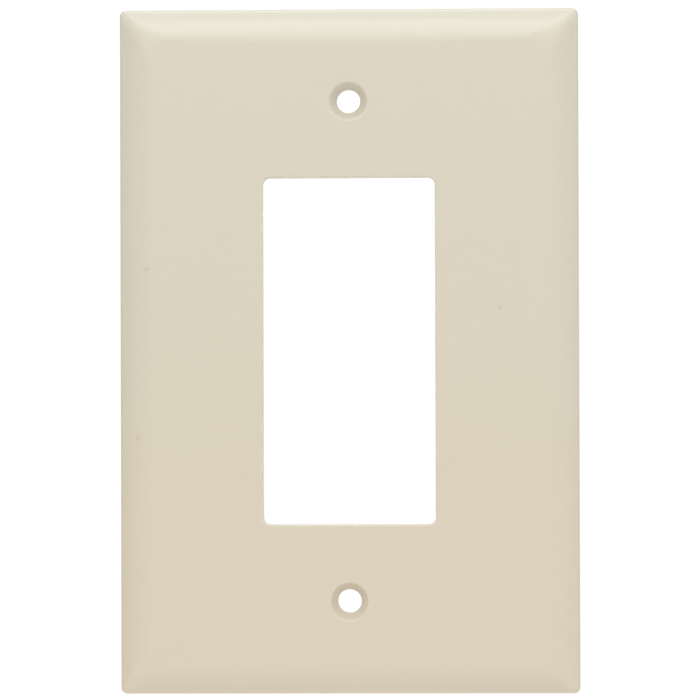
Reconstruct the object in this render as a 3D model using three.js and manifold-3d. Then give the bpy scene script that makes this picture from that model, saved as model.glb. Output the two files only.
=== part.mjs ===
// Oversize single-gang wall plate for a rectangular rocker switch or outlet.
// The plate is one plastic moulding, hung on a wall by two screws through its countersunk holes.
//
// Millimetres. +X is to the right seen from the room, +Y runs into the wall and +Z is up.
// The origin is the plate's centre in the plane of the wall, so the face looks along -Y.

import * as THREE from "three";
import { mergeVertices } from "three/addons/utils/BufferGeometryUtils.js";
import Module from "manifold-3d";

// Outline and depth of the plate.
const WIDTH = 89.3;
const HEIGHT = 133.1;
const DEPTH = 6.0; // wall plane to face
const CORNER_RADIUS = 1.2;

// Section of the border, from the side wall in to the flat face.
const SIDE_DRAFT = THREE.MathUtils.degToRad(2);
const EDGE_RADIUS = 1.5;
const BEVEL_SLOPE = THREE.MathUtils.degToRad(36); // at its steepest, next to the edge round
const BLEND_RADIUS = 10.0; // bevel into face
const BORDER_RUN = 7.3; // side wall to flat face

// Thickness of the moulding.
const FACE_THICKNESS = 2.5;
const RIM_WIDTH = 2.2;
const HOLLOW_EDGE_RADIUS = 0.8;

// Device opening and the collar that stiffens it at the back.
const OPENING = { width: 33.4, height: 67.2, radius: 1.4 };
const COLLAR_WALL = 1.8;
const STRAP_GAP = 1.5; // collar and bosses stop this far short of the wall, on the device's strap

// Screw holes.
const SCREW_SPACING = 96.84;
const SCREW_HOLE_RADIUS = 2.3;
const SINK_RADIUS = 3.7;
const SINK_HALF_ANGLE = THREE.MathUtils.degToRad(41);
const BOSS_RADIUS = 4.8;

// Stiffening ribs on the back.
const RIB_THICKNESS = 1.3;
const RIB_GAP = 1.9; // ribs stop this far short of the wall
const SIDE_RIB_SPACING = 22.8; // between the pair that braces each side of the collar

// Round marks left in the back of the face by the mould's ejector pins.
const PIN_MARK = { radius: 2.4, depth: 0.2, x: 30.5, z: 51.5 };

const PAST = 2; // cutters run this far past the faces that they cut
const EMBED = 0.5; // ribs and bosses run this far into the face behind them
const ARC_STEPS = 8;
const ROUND_STEPS = 48;

const wasm = await Module();
wasm.setup();

// ---- three.js geometry to solids and back ----

function solidOf(geometry) {
  const bare = geometry.index ? geometry.toNonIndexed() : geometry.clone();
  bare.deleteAttribute("normal");
  bare.deleteAttribute("uv");
  const merged = mergeVertices(bare, 1e-4);
  const mesh = new wasm.Mesh({
    numProp: 3,
    vertProperties: new Float32Array(merged.attributes.position.array),
    triVerts: new Uint32Array(merged.index.array),
  });
  return new wasm.Manifold(mesh);
}

function geometryOf(solid) {
  const mesh = solid.getMesh();
  const geometry = new THREE.BufferGeometry();
  geometry.setAttribute("position", new THREE.BufferAttribute(mesh.vertProperties, mesh.numProp));
  geometry.setIndex(new THREE.BufferAttribute(mesh.triVerts, 1));
  const flat = geometry.toNonIndexed();
  flat.computeVertexNormals();
  return flat;
}

// ---- Directions in which an outline is extruded ----

const X = new THREE.Vector3(1, 0, 0);
const Y = new THREE.Vector3(0, 1, 0);
const Z = new THREE.Vector3(0, 0, 1);

// Outline seen from the room (right, up), extruded from the wall towards the room.
const FROM_WALL = new THREE.Matrix4().makeBasis(X, Z, Y.clone().negate());
// Section (sideways, out of the wall) extruded upwards.
const UPWARDS = new THREE.Matrix4().makeBasis(X.clone().negate(), Y.clone().negate(), Z);
// Section (up, out of the wall) extruded sideways.
const SIDEWAYS = new THREE.Matrix4().makeBasis(Z, Y.clone().negate(), X);

function extrude(shape, length, direction, start = 0) {
  const geometry = new THREE.ExtrudeGeometry(shape, {
    depth: length,
    bevelEnabled: false,
    curveSegments: ARC_STEPS,
  });
  geometry.translate(0, 0, start);
  return solidOf(geometry.applyMatrix4(direction));
}

function roundedRectangle(width, height, radius) {
  const x = width / 2 - radius;
  const y = height / 2 - radius;
  const shape = new THREE.Shape();
  shape.absarc(x, y, radius, 0, Math.PI / 2);
  shape.absarc(-x, y, radius, Math.PI / 2, Math.PI);
  shape.absarc(-x, -y, radius, Math.PI, 1.5 * Math.PI);
  shape.absarc(x, -y, radius, 1.5 * Math.PI, 2 * Math.PI);
  shape.closePath();
  return shape;
}

function bar(width, height, depth, x, z, fromWall) {
  const geometry = new THREE.BoxGeometry(width, depth, height);
  geometry.translate(x, -fromWall - depth / 2, z);
  return solidOf(geometry);
}

function disc(radius, depth, x, z, fromWall) {
  const geometry = new THREE.CylinderGeometry(radius, radius, depth, ROUND_STEPS);
  geometry.translate(x, -fromWall - depth / 2, z);
  return solidOf(geometry);
}

// ---- Shell ----

// Half-width and height above the wall of the centre of the round where the bevel meets the side wall.
function edgeRoundCentre(halfSpan, depth, run, blendRadius, edgeRadius) {
  const bevelNormal = new THREE.Vector2(Math.sin(BEVEL_SLOPE), Math.cos(BEVEL_SLOPE));
  const wallNormal = new THREE.Vector2(Math.cos(SIDE_DRAFT), Math.sin(SIDE_DRAFT));
  const blendCentre = new THREE.Vector2(halfSpan - run, depth - blendRadius);
  const bevelOffset = bevelNormal.dot(blendCentre) + blendRadius - edgeRadius;
  const wallOffset = wallNormal.x * halfSpan - edgeRadius;
  const cross = bevelNormal.cross(wallNormal);
  return new THREE.Vector2(
    (bevelOffset * wallNormal.y - wallOffset * bevelNormal.y) / cross,
    (wallOffset * bevelNormal.x - bevelOffset * wallNormal.x) / cross,
  );
}

// Section across a bevelled slab: drafted side wall, edge round, bevel, blend, flat face and back again.
function slabSection(span, depth, run, blendRadius, edgeRadius) {
  const half = span / 2;
  const edge = edgeRoundCentre(half, depth, run, blendRadius, edgeRadius);
  const blendX = half - run;
  const blendY = depth - blendRadius;
  const right = Math.PI / 2 - BEVEL_SLOPE;
  const left = Math.PI / 2 + BEVEL_SLOPE;
  const shape = new THREE.Shape();
  shape.moveTo(-half, 0);
  shape.lineTo(half, 0);
  shape.absarc(edge.x, edge.y, edgeRadius, SIDE_DRAFT, right);
  shape.absarc(blendX, blendY, blendRadius, right, Math.PI / 2);
  shape.absarc(-blendX, blendY, blendRadius, Math.PI / 2, left);
  shape.absarc(-edge.x, edge.y, edgeRadius, left, Math.PI - SIDE_DRAFT);
  shape.closePath();
  return shape;
}

// A slab with the same border on all four sides, which meet in mitres at the corners.
function bevelledSlab(width, height, depth, run, blendRadius, edgeRadius) {
  const across = slabSection(width, depth, run, blendRadius, edgeRadius);
  const along = slabSection(height, depth, run, blendRadius, edgeRadius);
  const tall = extrude(across, height + 2 * PAST, UPWARDS, -height / 2 - PAST);
  const wide = extrude(along, width + 2 * PAST, SIDEWAYS, -width / 2 - PAST);
  return tall.intersect(wide);
}

function outerSlab() {
  const outline = roundedRectangle(WIDTH, HEIGHT, CORNER_RADIUS);
  return bevelledSlab(WIDTH, HEIGHT, DEPTH, BORDER_RUN, BLEND_RADIUS, EDGE_RADIUS)
    .intersect(extrude(outline, DEPTH + PAST, FROM_WALL));
}

// The hollow in the back, which follows the face and bevel at the same thickness.
function backHollow() {
  return bevelledSlab(
    WIDTH - 2 * RIM_WIDTH,
    HEIGHT - 2 * RIM_WIDTH,
    DEPTH - FACE_THICKNESS,
    BORDER_RUN - RIM_WIDTH,
    BLEND_RADIUS - FACE_THICKNESS,
    HOLLOW_EDGE_RADIUS,
  );
}

// ---- Structure inside the hollow ----

const HOLLOW_DEPTH = DEPTH - FACE_THICKNESS;
const COLLAR_HALF_WIDTH = OPENING.width / 2 + COLLAR_WALL;
const COLLAR_HALF_HEIGHT = OPENING.height / 2 + COLLAR_WALL;

function collar() {
  const outline = roundedRectangle(
    2 * COLLAR_HALF_WIDTH,
    2 * COLLAR_HALF_HEIGHT,
    OPENING.radius + COLLAR_WALL,
  );
  return extrude(outline, HOLLOW_DEPTH - STRAP_GAP + EMBED, FROM_WALL, STRAP_GAP);
}

function screwBoss(z) {
  return disc(BOSS_RADIUS, HOLLOW_DEPTH - STRAP_GAP + EMBED, 0, z, STRAP_GAP);
}

// Bars from the middle of one rim to the other: in line with the collar's four walls, through the
// screws, and two more that brace the collar's long walls.
function ribs() {
  const depth = HOLLOW_DEPTH - RIB_GAP + EMBED;
  const upright = (x) => bar(RIB_THICKNESS, HEIGHT - RIM_WIDTH, depth, x, 0, RIB_GAP);
  const level = (z) => bar(WIDTH - RIM_WIDTH, RIB_THICKNESS, depth, 0, z, RIB_GAP);
  const beside = COLLAR_HALF_WIDTH - COLLAR_WALL / 2;
  const above = COLLAR_HALF_HEIGHT - COLLAR_WALL / 2;
  return [
    ...[-beside, 0, beside].map(upright),
    ...[-above, -SIDE_RIB_SPACING / 2, SIDE_RIB_SPACING / 2, above].map(level),
  ];
}

// ---- Cutters ----

function openingCutter() {
  const outline = roundedRectangle(OPENING.width, OPENING.height, OPENING.radius);
  return extrude(outline, DEPTH + 2 * PAST, FROM_WALL, -PAST);
}

// A straight hole with a conical seat for the screw's head, turned about the screw's own axis.
function screwCutter(z) {
  const sinkDepth = (SINK_RADIUS - SCREW_HOLE_RADIUS) / Math.tan(SINK_HALF_ANGLE);
  const mouthRadius = SINK_RADIUS + PAST * Math.tan(SINK_HALF_ANGLE);
  const profile = [
    new THREE.Vector2(0, -PAST),
    new THREE.Vector2(SCREW_HOLE_RADIUS, -PAST),
    new THREE.Vector2(SCREW_HOLE_RADIUS, DEPTH - sinkDepth),
    new THREE.Vector2(mouthRadius, DEPTH + PAST),
    new THREE.Vector2(0, DEPTH + PAST),
  ];
  const geometry = new THREE.LatheGeometry(profile, ROUND_STEPS);
  geometry.rotateX(Math.PI);
  geometry.translate(0, 0, z);
  return solidOf(geometry);
}

// One mark near each corner and one half-way up each long side.
function pinMarkCutters() {
  const start = HOLLOW_DEPTH - PIN_MARK.depth;
  const cutters = [];
  for (const x of [-PIN_MARK.x, PIN_MARK.x]) {
    for (const z of [-PIN_MARK.z, 0, PIN_MARK.z]) {
      cutters.push(disc(PIN_MARK.radius, 2 * PIN_MARK.depth, x, z, start));
    }
  }
  return cutters;
}

// ---- The plate ----

function makePlate() {
  const screws = [SCREW_SPACING / 2, -SCREW_SPACING / 2];
  const slab = outerSlab();
  let inside = collar();
  for (const piece of [...screws.map(screwBoss), ...ribs()]) {
    inside = inside.add(piece);
  }
  let plate = slab.subtract(backHollow()).add(inside.intersect(slab));
  for (const cutter of [openingCutter(), ...screws.map(screwCutter), ...pinMarkCutters()]) {
    plate = plate.subtract(cutter);
  }
  return plate;
}

const almondPlastic = new THREE.MeshStandardMaterial({
  color: new THREE.Color().setRGB(0.855, 0.82, 0.745, THREE.SRGBColorSpace),
  roughness: 0.35,
  metalness: 0,
});

const plate = new THREE.Mesh(geometryOf(makePlate()), almondPlastic);
plate.name = "plate";

const wallPlate = new THREE.Group();
wallPlate.add(plate);

export default wallPlate;
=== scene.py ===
"""An oversize single-gang wall plate in light almond plastic, hanging clear of a pale floor in soft light.

Metres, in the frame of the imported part: +X right, +Y into the wall, +Z up, origin at the plate's centre
in the plane of the wall.
"""

import math

import bmesh
import bpy
from mathutils import Matrix, Vector


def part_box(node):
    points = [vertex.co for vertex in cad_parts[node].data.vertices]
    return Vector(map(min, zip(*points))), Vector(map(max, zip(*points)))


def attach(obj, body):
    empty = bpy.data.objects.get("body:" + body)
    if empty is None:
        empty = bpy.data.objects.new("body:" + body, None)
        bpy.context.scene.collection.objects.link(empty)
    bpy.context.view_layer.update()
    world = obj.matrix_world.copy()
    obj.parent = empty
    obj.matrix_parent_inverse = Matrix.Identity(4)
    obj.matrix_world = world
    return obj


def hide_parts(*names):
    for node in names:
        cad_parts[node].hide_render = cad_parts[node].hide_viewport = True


MM = 0.001

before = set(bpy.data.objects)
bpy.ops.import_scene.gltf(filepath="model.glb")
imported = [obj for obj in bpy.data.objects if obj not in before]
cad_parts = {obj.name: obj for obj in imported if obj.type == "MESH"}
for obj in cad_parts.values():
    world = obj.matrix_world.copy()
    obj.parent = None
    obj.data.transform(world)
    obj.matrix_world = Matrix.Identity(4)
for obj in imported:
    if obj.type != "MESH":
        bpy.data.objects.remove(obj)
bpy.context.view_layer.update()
plate_low, plate_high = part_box("plate")

# ---- Sizes of the plate, in millimetres ----

HALF_WIDTH = plate_high.x / MM
HALF_HEIGHT = plate_high.z / MM
FACE_SETBACK = 0.01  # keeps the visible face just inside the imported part's
DEPTH = -plate_low.y / MM - FACE_SETBACK

# The border, as (inset from the outline, height above the wall, corner radius in plan).
FOOT = (0.0, 0.0, 1.2)
SIDE_TOP = (0.12, 3.05, 1.2)
BEVEL_TOP = (4.1, DEPTH - 0.09, 3.5)
CROWN_TOP = (12.0, DEPTH, 13.0)
FOOT_ROUND = 0.15
EDGE_ROUND = 1.5
BLEND_ROUND = 9.8
CROWN_ROUND = 150.0

# The hollow in the back.
RIM_INNER = (2.2, 0.0, 0.9)
HOLLOW_SIDE = (2.25, 1.6, 0.9)
HOLLOW_FLOOR = (4.87, DEPTH - 2.5, 1.6)
HOLLOW_ROUND = 7.0
FLOOR_HEIGHT = HOLLOW_FLOOR[1]

# The device opening and its collar.
OPENING = {"half_width": 16.7, "half_height": 33.6, "radius": 1.4}
OPENING_ROUND = 0.28
COLLAR_WALL = 1.8
COLLAR_DRAFT = math.radians(1)
STRAP_GAP = 1.5  # collar and bosses stop this far short of the wall

# The screw holes and their bosses.
SCREW_HEIGHT = 48.42
HOLE_RADIUS = 2.3
SINK_RADIUS = 3.7
SINK_HALF_ANGLE = math.radians(41)
SINK_ROUND = 0.45
BOSS_RADIUS = 4.8

# The ribs on the back.
RIB_GAP = 1.9  # ribs stop this far short of the wall
RIB_THICKNESS = 1.3
RIB_TAPER = 0.9  # width of the crest, as a share of the thickness at the foot
RIB_FILLET = 0.4
RIB_FILLET_SHARE = 0.95  # how much of its strip a fillet takes up
RIB_EMBED = 0.25  # how far a rib's solid reaches into the face
RIB_FOOT_SUNK = 0.02  # how far inside the face its fillets start, so that no gap shows
RIM_OVERLAP = 0.4  # how far ribs run into the rim
BOSS_OVERLAP = 0.6  # how far they run into a boss
SIDE_RIB_HEIGHT = 11.4

# The marks of the mould's ejector pins.
PIN_MARK_RADIUS = 2.4
PIN_MARK_DEPTH = 0.2
PIN_MARK_SLOPE = 0.1  # how much narrower the bottom is than the edge
PIN_MARK_X = 30.5
PIN_MARK_Z = 51.5

SMALL_ROUND = 0.15
FILLET = 0.35

# Flat strips kept round each loop that is filled, so that smooth shading stays level on the flats.
FACE_STRIP = 1.0
FLOOR_STRIP = 3.4  # wide enough for the round at the hollow's edge
COLLAR_STRIP = 1.0
BOSS_STRIP = 0.8
PIN_MARK_STRIP = 0.3

# How finely curves are divided.
CORNER_STEPS = 14
CIRCLE_STEPS = 72
STRAIGHT_STEP = 6.0  # spacing along straight edges
CROWN_STEPS = 4
BLEND_STEPS = 24
EDGE_STEPS = 10
HOLLOW_STEPS = 8
OPENING_STEPS = 5
SINK_STEPS = 8
FILLET_STEPS = 4
SMALL_STEPS = 3
TINY = 1e-5  # vertices closer than this are merged, and a smaller face has closed up

# ---- Finish ----

ALMOND = (0.586, 0.556, 0.458)
# Painted light: a warmer almond painted on the lower part of the plate, standing in for warmer light falling
# there.
ALMOND_PAINTED_WARM_LIGHT = (0.600, 0.547, 0.438)
ALMOND_DEEP = (0.625, 0.556, 0.440)
ALMOND_WORN = (0.680, 0.622, 0.520)
SPECK_BROWN = (0.46, 0.38, 0.27)
SPECKS = ((-39.2, 15.9, 0.7), (29.3, 8.3, 0.7), (-41.0, -16.7, 0.8))  # x, z and radius
SPECK_CORE = 0.3  # radius of a speck's solid middle, as a share of its own
SPECK_STRENGTH = 0.4
SPECK_LEVELS = (-5.2 * MM, -4.8 * MM)  # y: in full in front of the first, and gone behind the second
SHARPEST = 3.5  # curvature of the sharpest edges, per millimetre

# Scales of the noise patterns, in waves per metre.
PAINTED_LIGHT_SWAY_SCALE = 30
GRAIN_SCALE = 900
SCUFF_SCALE = 500
HAZE_SCALE = 60
SKIN_SCALE = 1600
SWELL_SCALE = 45

# Painted light: the colour drifts from the painted warm tint at the bottom to plain almond at the top,
# standing in for warm light below and cooler light above.
PAINTED_LIGHT_LEVELS = (-0.04, 0.08)  # z in metres: warm below the first, plain almond above the second
PAINTED_LIGHT_SWAY = 0.04
NOISE_RANGE = (0.3, 0.7)  # nearly all of a noise pattern's values
SCUFF_RANGE = (0.45, 0.65)  # the stretch of it over which scuffs appear
GRAIN_STRENGTH = 0.05
SCUFF_STRENGTH = (0.1, 0.9)
ROUGHNESS = (0.28, 0.3)
SCUFF_ROUGHNESS = 0.08
SKIN_DEPTH = 0.008 * MM
SWELL_DEPTH = 0.08 * MM
BUMP_STRENGTH = 0.1
PLASTIC_IOR = 1.55

# ---- Light, floor and camera, in metres ----

ROOM_LEFT = (0.57, 0.56, 0.55)
ROOM_RIGHT = (0.73, 0.71, 0.71)
BACKDROP_WHITE = (1.05, 1.05, 1.05)
BACKDROP_EDGE = (0.6, 0.9)  # Y of the directions where the backdrop begins and where it is full
LIGHTS = {
    "softbox": {
        "elevation": math.radians(48),
        "distance": 1.5,
        "width": 1.7,
        "height": 0.95,
        "watts": 11.7,
        "colour": (1, 1.01, 1.01),
    },
    "fill": {
        "elevation": math.radians(18),
        "distance": 1.6,
        "width": 1.7,
        "height": 0.5,
        "watts": 2.4,
        "colour": (1, 1, 0.98),
    },
    "overhead": {
        "elevation": math.radians(97),
        "distance": 1.3,
        "width": 1.4,
        "height": 0.35,
        "watts": 5.7,
        "colour": (0.88, 1.04, 1.12),
    },
}
FLOOR_LEVEL = -0.22
FLOOR_SIZE = 1.5
FLOOR_COLOUR = (0.9, 0.85, 0.8, 1)
FLOOR_ROUGHNESS = 0.8
CAMERA_DISTANCE = 0.8
CAMERA_YAW = math.radians(1.9)
CAMERA_DROP = math.radians(0.6)
CAMERA_ROLL = math.radians(-0.18)
CAMERA_LENS = 211.2  # on a sensor CAMERA_SENSOR wide, both in millimetres
CAMERA_SENSOR = 36
CAMERA_OFFSET = (0.00002, 0.00024)


# ---- Rings: closed loops of edges that are extruded, reshaped and rounded ----


def vertices_of(edges):
    return list({v for e in edges for v in e.verts})


def outline(inset, radius):
    """The plate's outline, drawn in by inset: half-width, half-height and corner radius."""
    return (HALF_WIDTH - inset, HALF_HEIGHT - inset, radius)


def rounded_ring(bm, shape, height):
    """A rounded rectangle of edges at this height above the wall."""
    half_width, half_height, radius = shape
    panel = bmesh.ops.create_grid(bm, x_segments=1, y_segments=1, size=1)["verts"]
    bmesh.ops.scale(bm, vec=(half_width, half_height, 1), verts=panel)
    bmesh.ops.rotate(bm, matrix=Matrix.Rotation(math.pi / 2, 3, "X"), verts=panel)
    bmesh.ops.translate(bm, vec=(0, -height, 0), verts=panel)
    bmesh.ops.bevel(
        bm,
        geom=panel,
        affect="VERTICES",
        offset=radius,
        segments=CORNER_STEPS,
        profile=0.5,
        material=-1,
    )
    face = next(f for f in bm.faces if len(f.verts) > 4 and not any(len(e.link_faces) > 1 for e in f.edges))
    ring = list(face.edges)
    bmesh.ops.delete(bm, geom=[face], context="FACES_ONLY")
    straight = [e for e in ring if e.calc_length() > 2 * radius]
    for edge in straight:
        cuts = round(edge.calc_length() / STRAIGHT_STEP)
        made = bmesh.ops.subdivide_edges(bm, edges=[edge], cuts=cuts)
        ring.extend(g for g in made["geom_split"] if isinstance(g, bmesh.types.BMEdge))
    return [e for e in set(ring) if e.is_valid]


def circle_ring(bm, radius, x, z, height):
    """A circle of edges at this height above the wall."""
    verts = bmesh.ops.create_circle(bm, cap_ends=False, segments=CIRCLE_STEPS, radius=radius)["verts"]
    bmesh.ops.rotate(bm, matrix=Matrix.Rotation(math.pi / 2, 3, "X"), verts=verts)
    bmesh.ops.translate(bm, vec=(x, -height, z), verts=verts)
    return list({e for v in verts for e in v.link_edges})


def grow(bm, ring):
    """A new ring, joined to the last one by a strip of faces."""
    made = bmesh.ops.extrude_edge_only(bm, edges=ring)["geom"]
    verts = {g for g in made if isinstance(g, bmesh.types.BMVert)}
    return [g for g in made if isinstance(g, bmesh.types.BMEdge) and set(g.verts) <= verts]


def stretched(value, straight, radius, new_straight, new_radius):
    """A coordinate of a rounded rectangle, with its straight run and its corner stretched separately."""
    run = min(abs(value), straight)
    corner = abs(value) - run
    return math.copysign(run * new_straight / straight + corner * new_radius / radius, value)


def next_outline(bm, ring, shape, new_shape, height):
    """The next ring of a rounded rectangle, which changes from one shape to another."""
    ring = grow(bm, ring)
    half_width, half_height, radius = shape
    new_half_width, new_half_height, new_radius = new_shape
    for v in vertices_of(ring):
        v.co.x = stretched(v.co.x, half_width - radius, radius, new_half_width - new_radius, new_radius)
        v.co.z = stretched(v.co.z, half_height - radius, radius, new_half_height - new_radius, new_radius)
        v.co.y = -height
    return ring


def next_circle(bm, ring, radius, new_radius, centre, height):
    """The next ring of a circle about an axis square to the wall."""
    ring = grow(bm, ring)
    scale = new_radius / radius
    about = Matrix.Translation((-centre[0], 0, -centre[1]))
    bmesh.ops.scale(bm, vec=(scale, 1, scale), space=about, verts=vertices_of(ring))
    for v in vertices_of(ring):
        v.co.y = -height
    return ring


def round_off(bm, ring, radius, turn, segments):
    """Rounds a ring whose two strips meet at an angle of turn."""
    bmesh.ops.bevel(
        bm,
        geom=ring + vertices_of(ring),
        affect="EDGES",
        offset_type="OFFSET",
        offset=radius * math.tan(turn / 2),
        segments=segments,
        profile=0.5,
        material=-1,
        clamp_overlap=True,
        loop_slide=True,
    )


def angle_of(start, end):
    """Direction of a section's line from one corner to the next, as an angle."""
    return math.atan2(end[1] - start[1], end[0] - start[0])


def turn_between(before, corner, after):
    """How far a section turns at a corner."""
    turn = abs(angle_of(before, corner) - angle_of(corner, after))
    return min(turn, 2 * math.pi - turn)


# ---- The plate's surfaces ----


def border(bm):
    """Side wall, bevel and crown up to the flat of the face, and rim and hollow in to the hollow's floor."""
    flat = (CROWN_TOP[0] + FACE_STRIP, DEPTH, CROWN_TOP[2])
    floor = (HOLLOW_FLOOR[0] + FLOOR_STRIP, FLOOR_HEIGHT, HOLLOW_FLOOR[2])
    foot = rounded_ring(bm, outline(FOOT[0], FOOT[2]), FOOT[1])

    outside = [FOOT, SIDE_TOP, BEVEL_TOP, CROWN_TOP, flat]
    rings = [foot]
    for last, corner in zip(outside, outside[1:]):
        shape, new_shape = outline(last[0], last[2]), outline(corner[0], corner[2])
        rings.append(next_outline(bm, rings[-1], shape, new_shape, corner[1]))

    inside = [FOOT, RIM_INNER, HOLLOW_SIDE, HOLLOW_FLOOR, floor]
    hollow = [foot]
    for last, corner in zip(inside, inside[1:]):
        shape, new_shape = outline(last[0], last[2]), outline(corner[0], corner[2])
        hollow.append(next_outline(bm, hollow[-1], shape, new_shape, corner[1]))

    right_angle = math.pi / 2
    round_off(bm, rings[3], CROWN_ROUND, turn_between(*outside[2:5]), CROWN_STEPS)
    round_off(bm, rings[2], BLEND_ROUND, turn_between(*outside[1:4]), BLEND_STEPS)
    round_off(bm, rings[1], EDGE_ROUND, turn_between(*outside[0:3]), EDGE_STEPS)
    round_off(bm, hollow[3], HOLLOW_ROUND, turn_between(*inside[2:5]), HOLLOW_STEPS)
    round_off(bm, hollow[2], FILLET, turn_between(*inside[1:4]), SMALL_STEPS)
    round_off(bm, hollow[1], FOOT_ROUND, turn_between(*inside[0:3]), SMALL_STEPS)
    round_off(bm, foot, FOOT_ROUND, right_angle, SMALL_STEPS)
    return rings[4], hollow[4]


def grown_outline(grow_by):
    """The opening's outline, drawn out by grow_by."""
    return tuple(OPENING[k] + grow_by for k in ("half_width", "half_height", "radius"))


def opening(bm):
    """The opening's edge and wall and the collar round it, from the face to the hollow's floor."""
    foot = COLLAR_WALL + (FLOOR_HEIGHT - STRAP_GAP) * math.tan(COLLAR_DRAFT)
    # Distance out from the opening, and height above the wall.
    stations = [
        (FACE_STRIP, DEPTH),
        (0.0, DEPTH),
        (0.0, STRAP_GAP),
        (COLLAR_WALL, STRAP_GAP),
        (foot, FLOOR_HEIGHT),
        (COLLAR_WALL + COLLAR_STRIP, FLOOR_HEIGHT),
    ]
    shapes = [grown_outline(station[0]) for station in stations]
    rings = [rounded_ring(bm, shapes[0], DEPTH)]
    for last, shape, station in zip(shapes, shapes[1:], stations[1:]):
        rings.append(next_outline(bm, rings[-1], last, shape, station[1]))
    right_angle = math.pi / 2
    for ring, radius, steps in (
        (rings[1], OPENING_ROUND, OPENING_STEPS),
        (rings[2], SMALL_ROUND, SMALL_STEPS),
        (rings[3], SMALL_ROUND, SMALL_STEPS),
        (rings[4], FILLET, FILLET_STEPS),
    ):
        round_off(bm, ring, radius, right_angle, steps)
    return rings[0], rings[5]


def screw_hole(bm, z):
    """A countersunk hole and the boss behind it, from the flat of the face to the hollow's floor."""
    sink_depth = (SINK_RADIUS - HOLE_RADIUS) / math.tan(SINK_HALF_ANGLE)
    # Radius, and height above the wall.
    stations = [
        (SINK_RADIUS + FACE_STRIP, DEPTH),
        (SINK_RADIUS, DEPTH),
        (HOLE_RADIUS, DEPTH - sink_depth),
        (HOLE_RADIUS, STRAP_GAP),
        (BOSS_RADIUS, STRAP_GAP),
        (BOSS_RADIUS, FLOOR_HEIGHT),
        (BOSS_RADIUS + BOSS_STRIP, FLOOR_HEIGHT),
    ]
    rings = [circle_ring(bm, stations[0][0], 0, z, DEPTH)]
    for last, station in zip(stations, stations[1:]):
        rings.append(next_circle(bm, rings[-1], last[0], station[0], (0, z), station[1]))
    right_angle = math.pi / 2
    for ring, radius, turn, steps in (
        (rings[1], SINK_ROUND, right_angle - SINK_HALF_ANGLE, SINK_STEPS),
        (rings[2], SMALL_ROUND, SINK_HALF_ANGLE, SMALL_STEPS),
        (rings[3], SMALL_ROUND, right_angle, SMALL_STEPS),
        (rings[4], SMALL_ROUND, right_angle, SMALL_STEPS),
        (rings[5], FILLET, right_angle, FILLET_STEPS),
    ):
        round_off(bm, ring, radius, turn, steps)
    return rings[0], rings[6]


def pin_mark(bm, x, z):
    """A shallow round mark in the hollow's floor."""
    mouth_radius = PIN_MARK_RADIUS + PIN_MARK_STRIP
    bottom_radius = PIN_MARK_RADIUS - PIN_MARK_SLOPE
    mouth = circle_ring(bm, mouth_radius, x, z, FLOOR_HEIGHT)
    edge = next_circle(bm, mouth, mouth_radius, PIN_MARK_RADIUS, (x, z), FLOOR_HEIGHT)
    bottom = next_circle(bm, edge, PIN_MARK_RADIUS, bottom_radius, (x, z), FLOOR_HEIGHT + PIN_MARK_DEPTH)
    bmesh.ops.triangle_fill(bm, use_beauty=True, edges=bottom, normal=(0, 1, 0))
    return mouth


def lengthways(edges):
    """Those edges that run along X for more than a rib's thickness."""
    return [e for e in edges if abs(e.verts[0].co.x - e.verts[1].co.x) > RIB_THICKNESS]


def rib(bm, start, end):
    """A bar on the hollow's floor from start to end, given as (x, z), with draft and a rounded crest.

    It has a fillet along each side of its foot. It is made lying along X, then turned and moved into
    place.
    """
    run = Vector(end) - Vector(start)
    length = run.length
    before = set(bm.verts)
    foot_height = FLOOR_HEIGHT + RIB_FOOT_SUNK
    foot_width = RIB_THICKNESS + 2 * RIB_FILLET
    verts = bmesh.ops.create_cube(bm, size=1)["verts"]
    bmesh.ops.scale(bm, vec=(length, RIB_EMBED, foot_width), verts=verts)
    bmesh.ops.translate(bm, vec=(0, -foot_height - RIB_EMBED / 2, 0), verts=verts)
    top = max({f for v in verts for f in v.link_faces}, key=lambda f: f.calc_center_median().y)
    strips = bmesh.ops.inset_region(bm, faces=[top], thickness=RIB_FILLET, use_even_offset=True)["faces"]
    for v in top.verts:
        v.co.x = math.copysign(length / 2, v.co.x)
    # The strips across the two ends have closed up, so they are joined to the end faces.
    closed_up = [f for f in strips if f.calc_area() < TINY]
    bmesh.ops.dissolve_edges(bm, edges=[max(f.edges, key=lambda e: e.calc_length()) for f in closed_up])
    foot_edges = lengthways(top.edges)
    web = bmesh.ops.extrude_face_region(bm, geom=[top])["geom"]
    crest = [g for g in web if isinstance(g, bmesh.types.BMVert)]
    bmesh.ops.translate(bm, vec=(0, foot_height - RIB_GAP, 0), verts=crest)
    bmesh.ops.scale(bm, vec=(1, 1, RIB_TAPER), verts=crest)
    crest_edges = lengthways(g for g in web if isinstance(g, bmesh.types.BMEdge))
    bmesh.ops.delete(bm, geom=[top], context="FACES_ONLY")
    for edges, offset in ((foot_edges, RIB_FILLET * RIB_FILLET_SHARE), (crest_edges, SMALL_ROUND)):
        bmesh.ops.bevel(
            bm,
            geom=edges,
            affect="EDGES",
            offset_type="OFFSET",
            offset=offset,
            segments=FILLET_STEPS,
            profile=0.5,
            material=-1,
        )
    made = [v for v in bm.verts if v not in before]
    turn = Matrix.Rotation(-math.atan2(run.y, run.x), 3, "Y")
    bmesh.ops.rotate(bm, matrix=turn, verts=made)
    middle = (Vector(start) + Vector(end)) / 2
    bmesh.ops.translate(bm, vec=(middle.x, 0, middle.y), verts=made)


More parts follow.
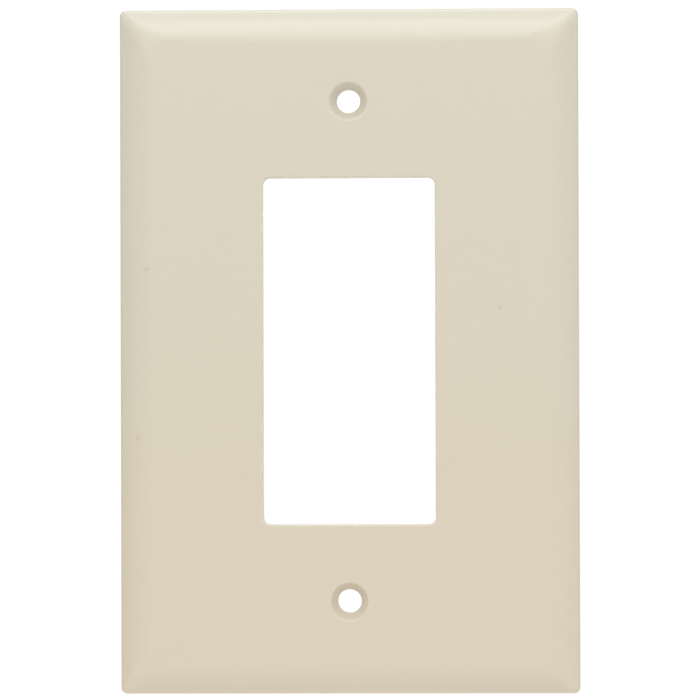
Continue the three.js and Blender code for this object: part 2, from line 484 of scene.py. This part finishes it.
def ribs(bm):
    """Bars from the collar and the bosses out to the rim."""
    beside = OPENING["half_width"] + COLLAR_WALL / 2
    above = OPENING["half_height"] + COLLAR_WALL / 2
    side_end = HALF_WIDTH - RIM_INNER[0] + RIM_OVERLAP
    top_end = HALF_HEIGHT - RIM_INNER[0] + RIM_OVERLAP
    boss_low = SCREW_HEIGHT - BOSS_RADIUS + BOSS_OVERLAP
    boss_high = SCREW_HEIGHT + BOSS_RADIUS - BOSS_OVERLAP
    for side in (-1, 1):
        for z in (-above, -SIDE_RIB_HEIGHT, SIDE_RIB_HEIGHT, above):
            rib(bm, (side * beside, z), (side * side_end, z))
        for x in (-beside, beside):
            rib(bm, (x, side * above), (x, side * top_end))
        rib(bm, (0, side * above), (0, side * boss_low))
        rib(bm, (0, side * boss_high), (0, side * top_end))


def mark_edges(bm):
    """Notes at each vertex how sharply the surface curves outwards there, from 0 (flat or hollow) to 1."""
    layer = bm.verts.layers.float.new("edge_curve")
    for edge in bm.edges:
        width = sum(f.calc_area() for f in edge.link_faces) / (2 * edge.calc_length())
        curve = edge.calc_face_angle_signed(0) / width / SHARPEST
        for v in edge.verts:
            v[layer] = min(1, max(v[layer], curve))


def make_plate():
    """The whole moulding, as one object."""
    bm = bmesh.new()
    face_edges, floor_edges = border(bm)
    loops = [opening(bm), screw_hole(bm, SCREW_HEIGHT), screw_hole(bm, -SCREW_HEIGHT)]
    for face_loop, floor_loop in loops:
        face_edges += face_loop
        floor_edges += floor_loop
    for x in (-PIN_MARK_X, PIN_MARK_X):
        for z in (-PIN_MARK_Z, 0, PIN_MARK_Z):
            floor_edges += pin_mark(bm, x, z)
    bmesh.ops.triangle_fill(bm, use_beauty=True, edges=face_edges, normal=(0, -1, 0))
    bmesh.ops.triangle_fill(bm, use_beauty=True, edges=floor_edges, normal=(0, 1, 0))
    ribs(bm)
    bmesh.ops.remove_doubles(bm, verts=bm.verts, dist=TINY)
    bmesh.ops.recalc_face_normals(bm, faces=bm.faces)
    mark_edges(bm)
    bmesh.ops.scale(bm, vec=(MM, MM, MM), verts=bm.verts)
    mesh = bpy.data.meshes.new("plate_moulding")
    bm.to_mesh(mesh)
    bm.free()
    mesh.shade_smooth()
    plate = bpy.data.objects.new("plate_moulding", mesh)
    bpy.context.scene.collection.objects.link(plate)
    return plate


# ---- Finish: glossy light almond plastic ----


class Nodes:
    """Adds nodes to one material or world and joins them up."""

    def __init__(self, owner):
        owner.use_nodes = True
        self.tree = owner.node_tree
        self.tree.nodes.clear()

    def add(self, kind, inputs=None, **settings):
        node = self.tree.nodes.new(kind)
        for name, value in settings.items():
            setattr(node, name, value)
        for name, value in (inputs or {}).items():
            socket = node.inputs[name]
            if isinstance(value, bpy.types.NodeSocket):
                self.tree.links.new(value, socket)
            else:
                socket.default_value = value
        return node

    def math(self, operation, a, b=0.0):
        node = self.add("ShaderNodeMath", {0: a, 1: b}, operation=operation)
        return node.outputs[0]

    def noise(self, where, scale, detail=3.0, rough=0.5):
        inputs = {"Vector": where, "Scale": scale, "Detail": detail, "Roughness": rough}
        return self.add("ShaderNodeTexNoise", inputs).outputs["Fac"]

    def bump(self, height, distance, inputs=None):
        inputs = {"Height": height, "Strength": BUMP_STRENGTH, "Distance": distance, **(inputs or {})}
        return self.add("ShaderNodeBump", inputs).outputs["Normal"]

    def spread(self, value, low, high, to_low, to_high):
        """Maps value from low..high to to_low..to_high, smoothly and without running past either end."""
        inputs = {"Value": value, "From Min": low, "From Max": high, "To Min": to_low, "To Max": to_high}
        node = self.add("ShaderNodeMapRange", inputs, interpolation_type="SMOOTHSTEP")
        return node.outputs["Result"]

    def tint(self, amount, a, b):
        node = self.add("ShaderNodeMix", {"Factor": amount}, data_type="RGBA")
        for socket, value in ((node.inputs[6], a), (node.inputs[7], b)):
            if isinstance(value, bpy.types.NodeSocket):
                self.tree.links.new(value, socket)
            else:
                socket.default_value = (*value, 1)
        return node.outputs[2]


def almond_plastic():
    """The plate's one material."""
    material = bpy.data.materials.new("almond_plastic")
    n = Nodes(material)
    where = n.add("ShaderNodeTexCoord").outputs["Object"]
    along = n.add("ShaderNodeSeparateXYZ", {"Vector": where}).outputs
    up, inward = along["Z"], along["Y"]

    # Colour: painted light drifting up the plate, a warmer tint painted below and plain almond above as if
    # lit by cooler light there, then fine grain, paler scuffs on the edges and a few moulded-in specks.
    painted_light_sway = n.math("MULTIPLY", n.noise(where, PAINTED_LIGHT_SWAY_SCALE), PAINTED_LIGHT_SWAY)
    painted_light_drift = n.spread(n.math("ADD", up, painted_light_sway), *PAINTED_LIGHT_LEVELS, 1, 0)
    colour = n.tint(painted_light_drift, ALMOND, ALMOND_PAINTED_WARM_LIGHT)
    grain = n.spread(n.noise(where, GRAIN_SCALE, detail=2), *NOISE_RANGE, 0, GRAIN_STRENGTH)
    colour = n.tint(grain, colour, ALMOND_DEEP)
    edge = n.add("ShaderNodeAttribute", attribute_name="edge_curve").outputs["Fac"]
    patches = n.spread(n.noise(where, SCUFF_SCALE, detail=4, rough=0.6), *SCUFF_RANGE, *SCUFF_STRENGTH)
    scuffs = n.math("MULTIPLY", edge, patches)
    colour = n.tint(scuffs, colour, ALMOND_WORN)
    in_front = n.spread(inward, *SPECK_LEVELS, SPECK_STRENGTH, 0)
    flat = n.add("ShaderNodeVectorMath", {0: where, 1: (1, 0, 1)}, operation="MULTIPLY").outputs["Vector"]
    for x, z, radius in SPECKS:
        centre = (x * MM, 0, z * MM)
        apart = n.add("ShaderNodeVectorMath", {0: flat, 1: centre}, operation="DISTANCE").outputs["Value"]
        speck = n.spread(apart, SPECK_CORE * radius * MM, radius * MM, 1, 0)
        colour = n.tint(n.math("MULTIPLY", speck, in_front), colour, SPECK_BROWN)

    # Gloss: nearly even, and a little hazier on the scuffed edges.
    haze = n.spread(n.noise(where, HAZE_SCALE, detail=4, rough=0.6), *NOISE_RANGE, *ROUGHNESS)
    rough = n.math("ADD", haze, n.math("MULTIPLY", scuffs, SCUFF_ROUGHNESS))

    # Surface: the fine texture of the moulding and its slow unevenness.
    fine = n.bump(n.noise(where, SKIN_SCALE, detail=2), SKIN_DEPTH)
    wavy = n.bump(n.noise(where, SWELL_SCALE, detail=1), SWELL_DEPTH, {"Normal": fine})
    shader = n.add(
        "ShaderNodeBsdfPrincipled",
        {"Base Color": colour, "Roughness": rough, "Normal": wavy, "IOR": PLASTIC_IOR},
    )
    n.add("ShaderNodeOutputMaterial", {"Surface": shader.outputs[0]})
    return material


# ---- Light, floor and camera ----


def make_world():
    """A plain room, brighter on the right, with a white backdrop straight behind the plate."""
    world = bpy.data.worlds.new("studio")
    bpy.context.scene.world = world
    n = Nodes(world)
    way = n.add("ShaderNodeTexCoord").outputs["Generated"]
    along = n.add("ShaderNodeSeparateXYZ", {"Vector": way}).outputs
    colour = n.tint(n.spread(along["X"], -1, 1, 0, 1), ROOM_LEFT, ROOM_RIGHT)
    colour = n.tint(n.spread(along["Y"], *BACKDROP_EDGE, 0, 1), colour, BACKDROP_WHITE)
    surround = n.add("ShaderNodeBackground", {"Color": colour})
    n.add("ShaderNodeOutputWorld", {"Surface": surround.outputs[0]})


def soft_light(name, elevation, distance, width, height, watts, colour):
    """A rectangular softbox facing the plate; its elevation is measured up from straight in front."""
    light = bpy.data.lights.new(name, "AREA")
    light.shape = "RECTANGLE"
    light.size = width
    light.size_y = height
    light.energy = watts
    light.color = colour
    lamp = bpy.data.objects.new(name, light)
    bpy.context.scene.collection.objects.link(lamp)
    turn = Matrix.Rotation(math.pi / 2 - elevation, 4, "X")
    lamp.matrix_world = turn @ Matrix.Translation((0, 0, distance))


def make_floor():
    """A pale floor, well below the plate."""
    bm = bmesh.new()
    verts = bmesh.ops.create_grid(bm, x_segments=1, y_segments=1, size=FLOOR_SIZE)["verts"]
    bmesh.ops.translate(bm, vec=(0, 0, FLOOR_LEVEL), verts=verts)
    mesh = bpy.data.meshes.new("floor")
    bm.to_mesh(mesh)
    bm.free()
    floor = bpy.data.objects.new("floor", mesh)
    bpy.context.scene.collection.objects.link(floor)
    material = bpy.data.materials.new("pale_floor")
    n = Nodes(material)
    shader = n.add("ShaderNodeBsdfPrincipled", {"Base Color": FLOOR_COLOUR, "Roughness": FLOOR_ROUGHNESS})
    n.add("ShaderNodeOutputMaterial", {"Surface": shader.outputs[0]})
    mesh.materials.append(material)


def make_camera():
    """A long lens, nearly square to the face."""
    camera = bpy.data.cameras.new("camera")
    view_point = bpy.data.objects.new("camera", camera)
    bpy.context.scene.collection.objects.link(view_point)
    turn = Matrix.Rotation(CAMERA_YAW, 4, "Z") @ Matrix.Rotation(math.pi / 2 + CAMERA_DROP, 4, "X")
    roll = Matrix.Rotation(CAMERA_ROLL, 4, "Z")
    view_point.matrix_world = turn @ roll @ Matrix.Translation((*CAMERA_OFFSET, CAMERA_DISTANCE))
    camera.sensor_width = CAMERA_SENSOR
    camera.lens = CAMERA_LENS
    bpy.context.scene.camera = view_point


plate = make_plate()
plate.data.materials.append(almond_plastic())
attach(plate, "root")
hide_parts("plate")

make_world()
make_floor()
for light_name, settings in LIGHTS.items():
    soft_light(light_name, **settings)
make_camera()
bpy.context.scene.view_settings.view_transform = "Standard"
